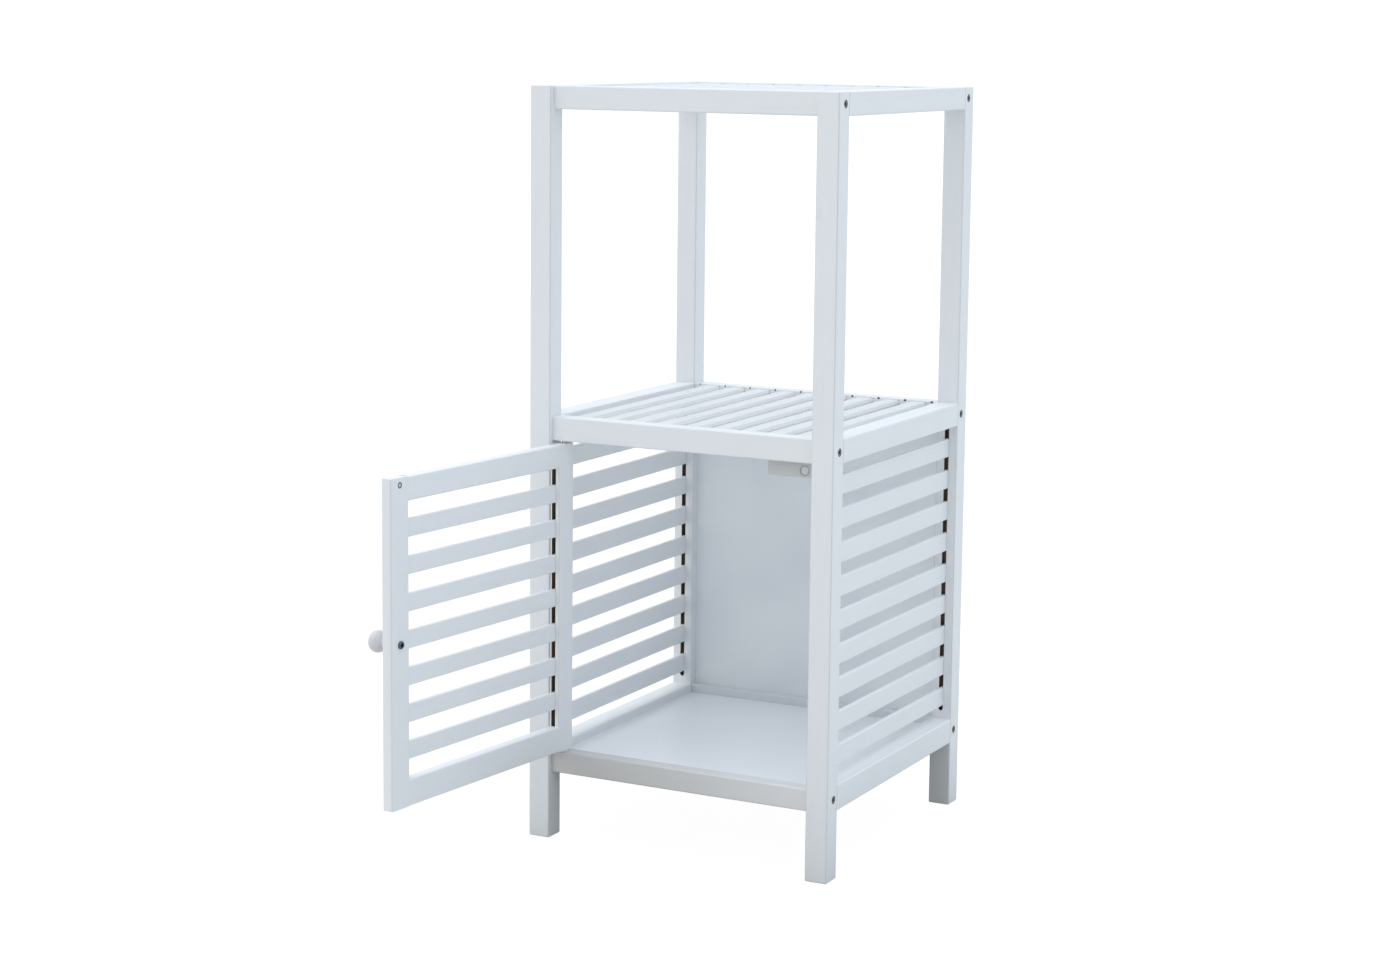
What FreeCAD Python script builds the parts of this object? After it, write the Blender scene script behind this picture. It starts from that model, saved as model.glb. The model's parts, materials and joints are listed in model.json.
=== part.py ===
"""Free-standing slatted bathroom cabinet with one door, painted white.

Millimetres. The origin is on the floor at the centre of the four legs' footprint.
+X points to the cabinet's right as seen from the front, +Y to its back, +Z up.
The door is hinged on the left and is modelled standing open.
"""
import FreeCAD, Part
import math
import os

V = FreeCAD.Vector

# Whole cabinet
CABINET_WIDTH = 360.0
CABINET_DEPTH = 360.0
CABINET_HEIGHT = 820.0

# Legs: four square posts, full height
LEG_SIDE = 25.0
LEG_EDGE_RADIUS = 1.5
LEG_END_CHAMFER = 0.8

# Rails: three levels, one rail on each side of the cabinet at every level
TOP_RAIL_HEIGHT = 25.0
MIDDLE_RAIL_UNDERSIDE = 440.0
MIDDLE_RAIL_HEIGHT = 26.0
BOTTOM_RAIL_UNDERSIDE = 73.0
BOTTOM_RAIL_HEIGHT = 28.0
BOTTOM_FRONT_RAIL_HEIGHT = 24.0
CROSS_RAIL_THICKNESS = 18.0
CROSS_RAIL_RECESS = 6.0
SIDE_RAIL_EDGE_RADIUS = 2.0
CROSS_RAIL_EDGE_RADIUS = 1.5

# Slats of the top, of the middle shelf and of the two sides
SHELF_SLAT_COUNT = 9
SHELF_SLAT_WIDTH = 18.0
SHELF_SLAT_THICKNESS = 5.0
SHELF_SLAT_DROP = 1.5
SIDE_SLAT_COUNT = 9
SIDE_SLAT_HEIGHT = 21.0
SIDE_SLAT_THICKNESS = 5.0
SLAT_EDGE_RADIUS = 1.2
SHELF_MORTISE_DEPTH = 5.0
SIDE_GROOVE_DEPTH = 6.0
SIDE_GROOVE_OVERRUN = 6.0

# Boards: the compartment's floor and its back
FLOOR_BOARD_THICKNESS = 6.0
FLOOR_BOARD_TOP_BELOW_RAIL = 9.5
BACK_BOARD_THICKNESS = 3.0
BACK_BOARD_SETBACK = 11.0
BOARD_GROOVE_DEPTH = 5.0

# Room left round a slat or a board in its groove or mortise, at its faces and at its end
GROOVE_SIDE_CLEARANCE = 0.1
GROOVE_END_CLEARANCE = 0.3

# Frame screws: hexagon sockets, sunk in the legs' outer faces
FRAME_SCREW_RADIUS = 3.0
FRAME_SCREW_LENGTH = 60.0
FRAME_SCREW_HEAD_RADIUS = 4.4
FRAME_SCREW_HEAD_HEIGHT = 3.0
FRAME_SCREW_SOCKET_RADIUS = 2.3
FRAME_SCREW_SOCKET_DEPTH = 2.0
FRAME_SCREW_SUNK = 0.5

# Dowels: two at each end of a side rail, one at each end of a cross rail
SIDE_DOWEL_RADIUS = 3.0
SIDE_DOWEL_SPACING = 15.0
SIDE_DOWEL_IN_LEG = 12.0
SIDE_DOWEL_IN_RAIL = 14.0
CROSS_DOWEL_RADIUS = 2.5
CROSS_DOWEL_OFFSET = 7.0
CROSS_DOWEL_IN_LEG = 7.5
CROSS_DOWEL_IN_RAIL = 14.0
HOLE_CLEARANCE = 0.05

# Door
DOOR_THICKNESS = 12.5
DOOR_SIDE_GAP = 2.0
DOOR_TOP_GAP = 2.5
DOOR_BOTTOM_GAP = 2.5
DOOR_HINGE_STILE_WIDTH = 26.0
DOOR_FREE_STILE_WIDTH = 28.0
DOOR_TOP_RAIL_HEIGHT = 25.0
DOOR_BOTTOM_RAIL_HEIGHT = 28.0
DOOR_EDGE_RADIUS = 2.0
DOOR_SLAT_COUNT = 7
DOOR_SLAT_HEIGHT = 19.2
DOOR_SLAT_THICKNESS = 5.0
DOOR_SLAT_SETBACK = 2.5
DOOR_GROOVE_DEPTH = 6.0
DOOR_DOWEL_RADIUS = 3.0
DOOR_DOWEL_SPACING = 12.0
DOOR_DOWEL_IN_STILE = 10.0
DOOR_DOWEL_IN_RAIL = 15.0
DOOR_OPEN_ANGLE = 96.0

# Pivot pins of the door, and the washer that carries it
PIN_RADIUS = 2.5
PIN_INSET = 9.0
PIN_IN_RAIL = 6.0
PIN_IN_DOOR = 12.0
PIN_RUNNING_CLEARANCE = 0.06
WASHER_RADIUS = 6.0
WASHER_RUNNING_GAP = 0.1

# Knob, turned, held by one screw from the inside of the door
KNOB_NECK_RADIUS = 6.0
KNOB_NECK_LENGTH = 8.5
KNOB_WAIST_RADIUS = 5.0
KNOB_HEAD_RADIUS = 11.5
KNOB_HEAD_LENGTH = 18.5
KNOB_SCREW_RADIUS = 2.0
KNOB_SCREW_HEAD_RADIUS = 4.0
KNOB_SCREW_HEAD_HEIGHT = 2.2
KNOB_SCREW_DOME_SHARE = 0.5
KNOB_SCREW_IN_KNOB = 12.0

# Magnetic catch: a block under the middle front rail, its magnet, and a steel screw in the door
CATCH_BLOCK_LENGTH = 58.0
CATCH_BLOCK_HEIGHT = 17.0
CATCH_BLOCK_DEPTH = 14.0
CATCH_BLOCK_EDGE_RADIUS = 1.0
CATCH_CLOSED_GAP = 0.3
CATCH_SLEEVE_RADIUS = 5.5
CATCH_SLEEVE_WALL = 1.2
CATCH_SLEEVE_LENGTH = 10.0
CATCH_MAGNET_SUNK = 0.4
STRIKE_DROP = 7.4
STRIKE_HEAD_RADIUS = 3.2
STRIKE_HEAD_HEIGHT = 2.0
STRIKE_RADIUS = 1.6
STRIKE_LENGTH = 10.0
CROSS_SLOT_WIDTH = 0.8
CROSS_SLOT_DEPTH = 1.0
CROSS_SLOT_REACH_SHARE = 0.5

# Places that follow from the sizes
HALF_WIDTH = CABINET_WIDTH / 2
HALF_DEPTH = CABINET_DEPTH / 2
OPENING_HALF_WIDTH = HALF_WIDTH - LEG_SIDE
OPENING_HALF_DEPTH = HALF_DEPTH - LEG_SIDE
LEG_CENTRE_X = HALF_WIDTH - LEG_SIDE / 2
CROSS_RAIL_OUTER_Y = HALF_DEPTH - CROSS_RAIL_RECESS
CROSS_RAIL_INNER_Y = CROSS_RAIL_OUTER_Y - CROSS_RAIL_THICKNESS
CROSS_RAIL_CENTRE_Y = CROSS_RAIL_OUTER_Y - CROSS_RAIL_THICKNESS / 2
TOP_RAIL_UNDERSIDE = CABINET_HEIGHT - TOP_RAIL_HEIGHT
MIDDLE_RAIL_TOP = MIDDLE_RAIL_UNDERSIDE + MIDDLE_RAIL_HEIGHT
BOTTOM_RAIL_TOP = BOTTOM_RAIL_UNDERSIDE + BOTTOM_RAIL_HEIGHT
BOTTOM_FRONT_RAIL_TOP = BOTTOM_RAIL_UNDERSIDE + BOTTOM_FRONT_RAIL_HEIGHT
FLOOR_BOARD_TOP = BOTTOM_RAIL_TOP - FLOOR_BOARD_TOP_BELOW_RAIL
FLOOR_BOARD_UNDERSIDE = FLOOR_BOARD_TOP - FLOOR_BOARD_THICKNESS
BACK_BOARD_OUTER_Y = HALF_DEPTH - BACK_BOARD_SETBACK
BACK_BOARD_INNER_Y = BACK_BOARD_OUTER_Y - BACK_BOARD_THICKNESS

# Each level: its name, underside, side rail height, front rail height, and the side of
# the frame screw, up or down, on which the cross rails' dowel lies
LEVELS = (
    ("top", TOP_RAIL_UNDERSIDE, TOP_RAIL_HEIGHT, TOP_RAIL_HEIGHT, 1),
    ("middle", MIDDLE_RAIL_UNDERSIDE, MIDDLE_RAIL_HEIGHT, MIDDLE_RAIL_HEIGHT, 1),
    ("bottom", BOTTOM_RAIL_UNDERSIDE, BOTTOM_RAIL_HEIGHT, BOTTOM_FRONT_RAIL_HEIGHT, -1),
)
SIDES = (("left", -1), ("right", 1))
ENDS = (("front", -1), ("back", 1))

# Door, closed: it lies flush with the front rails
DOOR_OUTER_Y = -CROSS_RAIL_OUTER_Y
DOOR_INNER_Y = DOOR_OUTER_Y + DOOR_THICKNESS
DOOR_HINGE_X = -OPENING_HALF_WIDTH + DOOR_SIDE_GAP
DOOR_FREE_X = OPENING_HALF_WIDTH - DOOR_SIDE_GAP
DOOR_UNDERSIDE = BOTTOM_FRONT_RAIL_TOP + DOOR_BOTTOM_GAP
DOOR_TOP = MIDDLE_RAIL_UNDERSIDE - DOOR_TOP_GAP
DOOR_RAIL_START_X = DOOR_HINGE_X + DOOR_HINGE_STILE_WIDTH
DOOR_RAIL_END_X = DOOR_FREE_X - DOOR_FREE_STILE_WIDTH
DOOR_SLATS_UNDERSIDE = DOOR_UNDERSIDE + DOOR_BOTTOM_RAIL_HEIGHT
DOOR_SLATS_TOP = DOOR_TOP - DOOR_TOP_RAIL_HEIGHT
PIN_X = DOOR_HINGE_X + PIN_INSET
PIN_Y = DOOR_OUTER_Y + DOOR_THICKNESS / 2
KNOB_X = DOOR_FREE_X - DOOR_FREE_STILE_WIDTH / 2
KNOB_Z = (DOOR_UNDERSIDE + DOOR_TOP) / 2
STRIKE_X = KNOB_X
STRIKE_Z = DOOR_TOP - STRIKE_DROP
CATCH_FRONT_Y = DOOR_INNER_Y + CATCH_CLOSED_GAP


def block(x, y, z):
    """A box from three (low, high) pairs."""
    return Part.makeBox(x[1] - x[0], y[1] - y[0], z[1] - z[0], V(x[0], y[0], z[0]))


def span(a, b):
    """Two places in rising order."""
    return (min(a, b), max(a, b))


def round_long_edges(bar, axis, radius):
    """Ease the edges of a bar that run along one axis (0, 1 or 2)."""
    long_edges = []
    for edge in bar.Edges:
        start, end = edge.Vertexes[0].Point, edge.Vertexes[-1].Point
        run = [abs(end[i] - start[i]) for i in range(3)]
        if run[axis] > max(run[(axis + 1) % 3], run[(axis + 2) % 3]):
            long_edges.append(edge)
    return bar.makeFillet(radius, long_edges)


def rod(radius, start, end):
    """A round bar from one point to another."""
    return Part.makeCylinder(radius, (end - start).Length, start, end - start)


def save(name, shape):
    shape.exportStep(os.path.join("parts", name + ".step"))


def save_group(name, solids):
    save(name, Part.makeCompound(solids))


def spread(count, size, low, high):
    """Low edges of equal pieces spread over a stretch, with equal gaps between and outside them."""
    gap = (high - low - count * size) / (count + 1)
    return [low + gap + i * (size + gap) for i in range(count)]


def mirrored_group(shape_at):
    """The same solid at each of the four corners."""
    return [shape_at(side, end) for _, side in SIDES for _, end in ENDS]


# Fasteners of the frame

def frame_screw(side, end, height):
    """Socket-head screw, driven through a leg into the end of a cross rail."""
    y = end * CROSS_RAIL_CENTRE_Y
    face = side * (HALF_WIDTH - FRAME_SCREW_SUNK)
    under_head = face - side * FRAME_SCREW_HEAD_HEIGHT
    tip = face - side * FRAME_SCREW_LENGTH
    socket_floor = face - side * FRAME_SCREW_SOCKET_DEPTH
    head = rod(FRAME_SCREW_HEAD_RADIUS, V(under_head, y, height), V(face, y, height))
    shank = rod(FRAME_SCREW_RADIUS, V(tip, y, height), V(under_head, y, height))
    hexagon = Part.makePolygon([hexagon_corner(i, face, y, height) for i in range(7)])
    socket = Part.Face(hexagon).extrude(V(socket_floor - face, 0, 0))
    return head.fuse(shank).removeSplitter().cut(socket)


def hexagon_corner(index, x, y, z):
    """Corner of the screw's hexagon socket."""
    arm = FreeCAD.Rotation(V(1, 0, 0), index * 60).multVec(V(0, FRAME_SCREW_SOCKET_RADIUS, 0))
    return V(x, y, z) + arm


def frame_screw_hole(side, end, height):
    """Clearance for a frame screw and its sunk head."""
    y = end * CROSS_RAIL_CENTRE_Y
    outside = side * HALF_WIDTH
    under_head = side * (HALF_WIDTH - FRAME_SCREW_SUNK - FRAME_SCREW_HEAD_HEIGHT)
    tip = side * (HALF_WIDTH - FRAME_SCREW_SUNK - FRAME_SCREW_LENGTH)
    sink = rod(FRAME_SCREW_HEAD_RADIUS + HOLE_CLEARANCE, V(under_head, y, height), V(outside, y, height))
    bore = rod(FRAME_SCREW_RADIUS + HOLE_CLEARANCE, V(tip, y, height), V(outside, y, height))
    return sink.fuse(bore)


def cross_dowel(side, end, height, clearance):
    """Dowel beside a frame screw, which keeps the rail from turning."""
    y = end * CROSS_RAIL_CENTRE_Y
    in_leg = side * (OPENING_HALF_WIDTH + CROSS_DOWEL_IN_LEG + clearance)
    in_rail = side * (OPENING_HALF_WIDTH - CROSS_DOWEL_IN_RAIL - clearance)
    return rod(CROSS_DOWEL_RADIUS + clearance, V(in_leg, y, height), V(in_rail, y, height))


def side_dowel(side, end, height, clearance):
    """Dowel that joins a side rail to a leg."""
    x = side * LEG_CENTRE_X
    in_leg = end * (OPENING_HALF_DEPTH + SIDE_DOWEL_IN_LEG + clearance)
    in_rail = end * (OPENING_HALF_DEPTH - SIDE_DOWEL_IN_RAIL - clearance)
    return rod(SIDE_DOWEL_RADIUS + clearance, V(x, in_leg, height), V(x, in_rail, height))


def level_fasteners(level):
    """Heights of a level's frame screws, of its cross dowel and of its two side dowels."""
    _, underside, height, _, dowel_side = level
    centre = underside + height / 2
    side_heights = (centre - SIDE_DOWEL_SPACING / 2, centre + SIDE_DOWEL_SPACING / 2)
    return centre, centre + dowel_side * CROSS_DOWEL_OFFSET, side_heights


def joint_holes(side, end):
    """Every fastener hole at one corner of the cabinet, at all three levels."""
    holes = []
    for level in LEVELS:
        screw_height, dowel_height, side_heights = level_fasteners(level)
        holes.append(frame_screw_hole(side, end, screw_height))
        holes.append(cross_dowel(side, end, dowel_height, HOLE_CLEARANCE))
        holes += [side_dowel(side, end, height, HOLE_CLEARANCE) for height in side_heights]
    return holes


def make_fasteners():
    screws, cross_dowels, side_dowels = [], [], []
    for level in LEVELS:
        screw_height, dowel_height, side_heights = level_fasteners(level)
        screws += mirrored_group(lambda side, end: frame_screw(side, end, screw_height))
        cross_dowels += mirrored_group(lambda side, end: cross_dowel(side, end, dowel_height, 0))
        for height in side_heights:
            side_dowels += mirrored_group(lambda side, end: side_dowel(side, end, height, 0))
    save_group("frame_screws", screws)
    save_group("cross_rail_dowels", cross_dowels)
    save_group("side_rail_dowels", side_dowels)


# Grooves and mortises that take the slats and the boards

def side_slat_lows():
    """Undersides of the slats of one side."""
    return spread(SIDE_SLAT_COUNT, SIDE_SLAT_HEIGHT, BOTTOM_RAIL_TOP, MIDDLE_RAIL_UNDERSIDE)


def side_slat_groove(side, end):
    """Groove down a leg from the middle side rail, with a round end a little below the lowest slat."""
    half = SIDE_SLAT_THICKNESS / 2 + GROOVE_SIDE_CLEARANCE
    centre = side * LEG_CENTRE_X
    y = span(end * OPENING_HALF_DEPTH, end * (OPENING_HALF_DEPTH + SIDE_GROOVE_DEPTH))
    round_centre = side_slat_lows()[0] - SIDE_GROOVE_OVERRUN + half
    straight = block((centre - half, centre + half), y, (round_centre, MIDDLE_RAIL_UNDERSIDE))
    return straight.fuse(rod(half, V(centre, y[0], round_centre), V(centre, y[1], round_centre)))


def back_board_space():
    """The back board's room, with the grooves that its four edges stand in."""
    reach = OPENING_HALF_WIDTH + BOARD_GROOVE_DEPTH
    y = (BACK_BOARD_INNER_Y - GROOVE_SIDE_CLEARANCE, BACK_BOARD_OUTER_Y + GROOVE_SIDE_CLEARANCE)
    z = (BOTTOM_RAIL_TOP - BOARD_GROOVE_DEPTH, MIDDLE_RAIL_UNDERSIDE + BOARD_GROOVE_DEPTH)
    return block((-reach, reach), y, z)


def floor_board_space():
    """The floor board's room, with the grooves that its four edges stand in."""
    half_x = OPENING_HALF_WIDTH + BOARD_GROOVE_DEPTH
    half_y = CROSS_RAIL_INNER_Y + BOARD_GROOVE_DEPTH
    z = (FLOOR_BOARD_UNDERSIDE - GROOVE_SIDE_CLEARANCE, FLOOR_BOARD_TOP + GROOVE_SIDE_CLEARANCE)
    return block((-half_x, half_x), (-half_y, half_y), z)


def shelf_slat_heights(rail_top):
    top = rail_top - SHELF_SLAT_DROP
    return (top - SHELF_SLAT_THICKNESS, top)


def shelf_slat_lows():
    """Left sides of the slats of one shelf."""
    return spread(SHELF_SLAT_COUNT, SHELF_SLAT_WIDTH, -OPENING_HALF_WIDTH, OPENING_HALF_WIDTH)


def shelf_slat_mortises(end, rail_top):
    """Mortises in a cross rail's inner face, one for the end of each shelf slat."""
    low_z, high_z = shelf_slat_heights(rail_top)
    y = span(end * CROSS_RAIL_INNER_Y, end * (CROSS_RAIL_INNER_Y + SHELF_MORTISE_DEPTH))
    z = (low_z - GROOVE_SIDE_CLEARANCE, high_z + GROOVE_SIDE_CLEARANCE)
    mortises = []
    for low in shelf_slat_lows():
        x = (low - GROOVE_SIDE_CLEARANCE, low + SHELF_SLAT_WIDTH + GROOVE_SIDE_CLEARANCE)
        mortises.append(block(x, y, z))
    return mortises


# Frame

def make_legs():
    for end_name, end in ENDS:
        for side_name, side in SIDES:
            x = span(side * OPENING_HALF_WIDTH, side * HALF_WIDTH)
            y = span(end * OPENING_HALF_DEPTH, end * HALF_DEPTH)
            leg = round_long_edges(block(x, y, (0, CABINET_HEIGHT)), 2, LEG_EDGE_RADIUS)
            rims = [e for e in leg.Edges if e.BoundBox.ZLength < LEG_END_CHAMFER]
            leg = leg.makeChamfer(LEG_END_CHAMFER, rims)
            cuts = joint_holes(side, end) + [side_slat_groove(side, end)]
            if end > 0:
                cuts.append(back_board_space())
            save("leg_" + end_name + "_" + side_name, leg.cut(cuts))


def make_side_rails():
    for level_name, underside, height, _, _ in LEVELS:
        for side_name, side in SIDES:
            x = span(side * OPENING_HALF_WIDTH, side * HALF_WIDTH)
            y = (-OPENING_HALF_DEPTH, OPENING_HALF_DEPTH)
            rail = round_long_edges(block(x, y, (underside, underside + height)), 1, SIDE_RAIL_EDGE_RADIUS)
            cuts = joint_holes(side, -1) + joint_holes(side, 1)
            if level_name == "bottom":
                cuts.append(floor_board_space())
            save(level_name + "_side_rail_" + side_name, rail.cut(cuts))


def make_cross_rails():
    for level_name, underside, height, front_height, _ in LEVELS:
        for end_name, end in ENDS:
            rail_height = front_height if end < 0 else height
            y = span(end * CROSS_RAIL_INNER_Y, end * CROSS_RAIL_OUTER_Y)
            x = (-OPENING_HALF_WIDTH, OPENING_HALF_WIDTH)
            z = (underside, underside + rail_height)
            rail = round_long_edges(block(x, y, z), 0, CROSS_RAIL_EDGE_RADIUS)
            cuts = joint_holes(-1, end) + joint_holes(1, end)
            if level_name == "bottom":
                cuts.append(floor_board_space())
            else:
                cuts += shelf_slat_mortises(end, underside + height)
            if end > 0 and level_name != "top":
                cuts.append(back_board_space())
            if end < 0 and level_name == "middle":
                cuts.append(pin_in_rail(MIDDLE_RAIL_UNDERSIDE, 1))
            if end < 0 and level_name == "bottom":
                cuts.append(pin_in_rail(BOTTOM_FRONT_RAIL_TOP, -1))
            save(level_name + "_" + end_name + "_rail", rail.cut(cuts))


# Slats and boards of the cabinet

def shelf_slats(rail_top):
    """The slats of one shelf, which run from the front rail to the back rail."""
    reach = CROSS_RAIL_INNER_Y + SHELF_MORTISE_DEPTH - GROOVE_END_CLEARANCE
    slats = []
    for low in shelf_slat_lows():
        slat = block((low, low + SHELF_SLAT_WIDTH), (-reach, reach), shelf_slat_heights(rail_top))
        slats.append(round_long_edges(slat, 1, SLAT_EDGE_RADIUS))
    return slats


def side_slats(side):
    """The slats of one side, which run from the front leg to the back leg."""
    reach = OPENING_HALF_DEPTH + SIDE_GROOVE_DEPTH - GROOVE_END_CLEARANCE
    half = SIDE_SLAT_THICKNESS / 2
    centre = side * LEG_CENTRE_X
    slats = []
    for low in side_slat_lows():
        slat = block((centre - half, centre + half), (-reach, reach), (low, low + SIDE_SLAT_HEIGHT))
        slats.append(round_long_edges(slat, 1, SLAT_EDGE_RADIUS))
    return slats


def make_slats():
    save_group("top_slats", shelf_slats(CABINET_HEIGHT))
    for number, slat in enumerate(shelf_slats(MIDDLE_RAIL_TOP), 1):
        save("shelf_slat_" + str(number), slat)
    for side_name, side in SIDES:
        save_group("side_slats_" + side_name, side_slats(side))


def make_boards():
    long_x = OPENING_HALF_WIDTH + BOARD_GROOVE_DEPTH - GROOVE_END_CLEARANCE
    long_y = CROSS_RAIL_INNER_Y + BOARD_GROOVE_DEPTH - GROOVE_END_CLEARANCE
    short_x = OPENING_HALF_WIDTH - GROOVE_END_CLEARANCE
    short_y = OPENING_HALF_DEPTH - GROOVE_END_CLEARANCE
    z = (FLOOR_BOARD_UNDERSIDE, FLOOR_BOARD_TOP)
    # The corners are notched round the legs
    wide = block((-long_x, long_x), (-short_y, short_y), z)
    deep = block((-short_x, short_x), (-long_y, long_y), z)
    save("floor_board", wide.fuse(deep).removeSplitter())
    low = BOTTOM_RAIL_TOP - BOARD_GROOVE_DEPTH + GROOVE_END_CLEARANCE
    high = MIDDLE_RAIL_UNDERSIDE + BOARD_GROOVE_DEPTH - GROOVE_END_CLEARANCE
    save("back_board", block((-long_x, long_x), (BACK_BOARD_INNER_Y, BACK_BOARD_OUTER_Y), (low, high)))


# Hinge of the door: two pins that stand in the front rails

def pin_in_rail(face, direction):
    """Hole for a pin in a front rail's face; direction is 1 into the middle rail, -1 into the bottom one."""
    depth = face + direction * (PIN_IN_RAIL + HOLE_CLEARANCE)
    return rod(PIN_RADIUS + HOLE_CLEARANCE, V(PIN_X, PIN_Y, face), V(PIN_X, PIN_Y, depth))


def pin_in_door(face, direction):
    """Running hole for a pin in an end of the door's hinge stile."""
    depth = face + direction * (PIN_IN_DOOR + GROOVE_END_CLEARANCE)
    return rod(PIN_RADIUS + PIN_RUNNING_CLEARANCE, V(PIN_X, PIN_Y, face), V(PIN_X, PIN_Y, depth))


def make_hinge():
    upper_top = V(PIN_X, PIN_Y, MIDDLE_RAIL_UNDERSIDE + PIN_IN_RAIL)
    upper_end = V(PIN_X, PIN_Y, DOOR_TOP - PIN_IN_DOOR)
    lower_foot = V(PIN_X, PIN_Y, BOTTOM_FRONT_RAIL_TOP - PIN_IN_RAIL)
    lower_end = V(PIN_X, PIN_Y, DOOR_UNDERSIDE + PIN_IN_DOOR)
    save("hinge_pin_upper", rod(PIN_RADIUS, upper_end, upper_top))
    save("hinge_pin_lower", rod(PIN_RADIUS, lower_foot, lower_end))
    seat = V(PIN_X, PIN_Y, BOTTOM_FRONT_RAIL_TOP)
    washer_top = V(PIN_X, PIN_Y, DOOR_UNDERSIDE - WASHER_RUNNING_GAP)
    bore = rod(PIN_RADIUS + HOLE_CLEARANCE, seat, washer_top)
    save("hinge_washer", rod(WASHER_RADIUS, seat, washer_top).cut(bore))


# Door, shaped closed and then turned open about its pins

def opened(shape):
    """A door piece, turned from closed to where the door stands open."""
    turned = shape.copy()
    turned.rotate(V(PIN_X, PIN_Y, 0), V(0, 0, 1), -DOOR_OPEN_ANGLE)
    return turned


def door_slat_depth():
    outer = DOOR_OUTER_Y + DOOR_SLAT_SETBACK
    return (outer, outer + DOOR_SLAT_THICKNESS)


def door_groove(edge, direction):
    """Groove in a stile's inner edge; direction points into the stile."""
    outer, inner = door_slat_depth()
    x = span(edge, edge + direction * DOOR_GROOVE_DEPTH)
    y = (outer - GROOVE_SIDE_CLEARANCE, inner + GROOVE_SIDE_CLEARANCE)
    return block(x, y, (DOOR_SLATS_UNDERSIDE, DOOR_SLATS_TOP))


def door_dowels(clearance):
    """Two dowels at each end of each door rail."""
    dowels = []
    for edge, direction in ((DOOR_RAIL_START_X, -1), (DOOR_RAIL_END_X, 1)):
        for low, high in ((DOOR_UNDERSIDE, DOOR_SLATS_UNDERSIDE), (DOOR_SLATS_TOP, DOOR_TOP)):
            for step in (-1, 1):
                z = (low + high) / 2 + step * DOOR_DOWEL_SPACING / 2
                in_stile = edge + direction * (DOOR_DOWEL_IN_STILE + clearance)
                in_rail = edge - direction * (DOOR_DOWEL_IN_RAIL + clearance)
                radius = DOOR_DOWEL_RADIUS + clearance
                dowels.append(rod(radius, V(in_stile, PIN_Y, z), V(in_rail, PIN_Y, z)))
    return dowels


def make_door_frame():
    y = (DOOR_OUTER_Y, DOOR_INNER_Y)
    z = (DOOR_UNDERSIDE, DOOR_TOP)
    dowel_holes = door_dowels(HOLE_CLEARANCE)
    hinge_stile = round_long_edges(block((DOOR_HINGE_X, DOOR_RAIL_START_X), y, z), 2, DOOR_EDGE_RADIUS)
    pin_holes = [pin_in_door(DOOR_TOP, -1), pin_in_door(DOOR_UNDERSIDE, 1)]
    hinge_cuts = dowel_holes + pin_holes + [door_groove(DOOR_RAIL_START_X, -1)]
    save("door_hinge_stile", opened(hinge_stile.cut(hinge_cuts)))
    free_stile = round_long_edges(block((DOOR_RAIL_END_X, DOOR_FREE_X), y, z), 2, DOOR_EDGE_RADIUS)
    free_cuts = dowel_holes + [door_groove(DOOR_RAIL_END_X, 1), knob_screw(HOLE_CLEARANCE), strike(HOLE_CLEARANCE)]
    save("door_free_stile", opened(free_stile.cut(free_cuts)))
    x = (DOOR_RAIL_START_X, DOOR_RAIL_END_X)
    heights = (("top", DOOR_SLATS_TOP, DOOR_TOP), ("bottom", DOOR_UNDERSIDE, DOOR_SLATS_UNDERSIDE))
    for name, low, high in heights:
        rail = round_long_edges(block(x, y, (low, high)), 0, DOOR_EDGE_RADIUS)
        save("door_" + name + "_rail", opened(rail.cut(dowel_holes)))
    save_group("door_dowels", [opened(dowel) for dowel in door_dowels(0)])


def make_door_slats():
    reach = DOOR_GROOVE_DEPTH - GROOVE_END_CLEARANCE
    x = (DOOR_RAIL_START_X - reach, DOOR_RAIL_END_X + reach)
    lows = spread(DOOR_SLAT_COUNT, DOOR_SLAT_HEIGHT, DOOR_SLATS_UNDERSIDE, DOOR_SLATS_TOP)
    for number, low in enumerate(lows, 1):
        slat = round_long_edges(block(x, door_slat_depth(), (low, low + DOOR_SLAT_HEIGHT)), 0, SLAT_EDGE_RADIUS)
        save("door_slat_" + str(number), opened(slat))


def cross_slot(x, y, z, head_radius):
    """Cross recess cut into a screw head whose face lies at y and looks towards +Y."""
    reach = head_radius * CROSS_SLOT_REACH_SHARE
    half = CROSS_SLOT_WIDTH / 2
    depth = (y - CROSS_SLOT_DEPTH, y)
    upright = block((x - half, x + half), depth, (z - reach, z + reach))
    level = block((x - reach, x + reach), depth, (z - half, z + half))
    return upright.fuse(level)


def knob_screw(clearance):
    """Screw from the inside of the door into the knob; with clearance, its hole."""
    head_face = DOOR_INNER_Y + KNOB_SCREW_HEAD_HEIGHT
    tip = DOOR_OUTER_Y - KNOB_SCREW_IN_KNOB
    shank = rod(KNOB_SCREW_RADIUS + clearance, V(KNOB_X, tip, KNOB_Z), V(KNOB_X, DOOR_INNER_Y, KNOB_Z))
    if clearance:
        return shank
    head = rod(KNOB_SCREW_HEAD_RADIUS, V(KNOB_X, DOOR_INNER_Y, KNOB_Z), V(KNOB_X, head_face, KNOB_Z))
    rim = [e for e in head.Edges if e.BoundBox.YMin > DOOR_INNER_Y]
    head = head.makeFillet(KNOB_SCREW_HEAD_HEIGHT * KNOB_SCREW_DOME_SHARE, rim)
    screw = head.fuse(shank).removeSplitter()
    return screw.cut(cross_slot(KNOB_X, head_face, KNOB_Z, KNOB_SCREW_HEAD_RADIUS))


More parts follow.
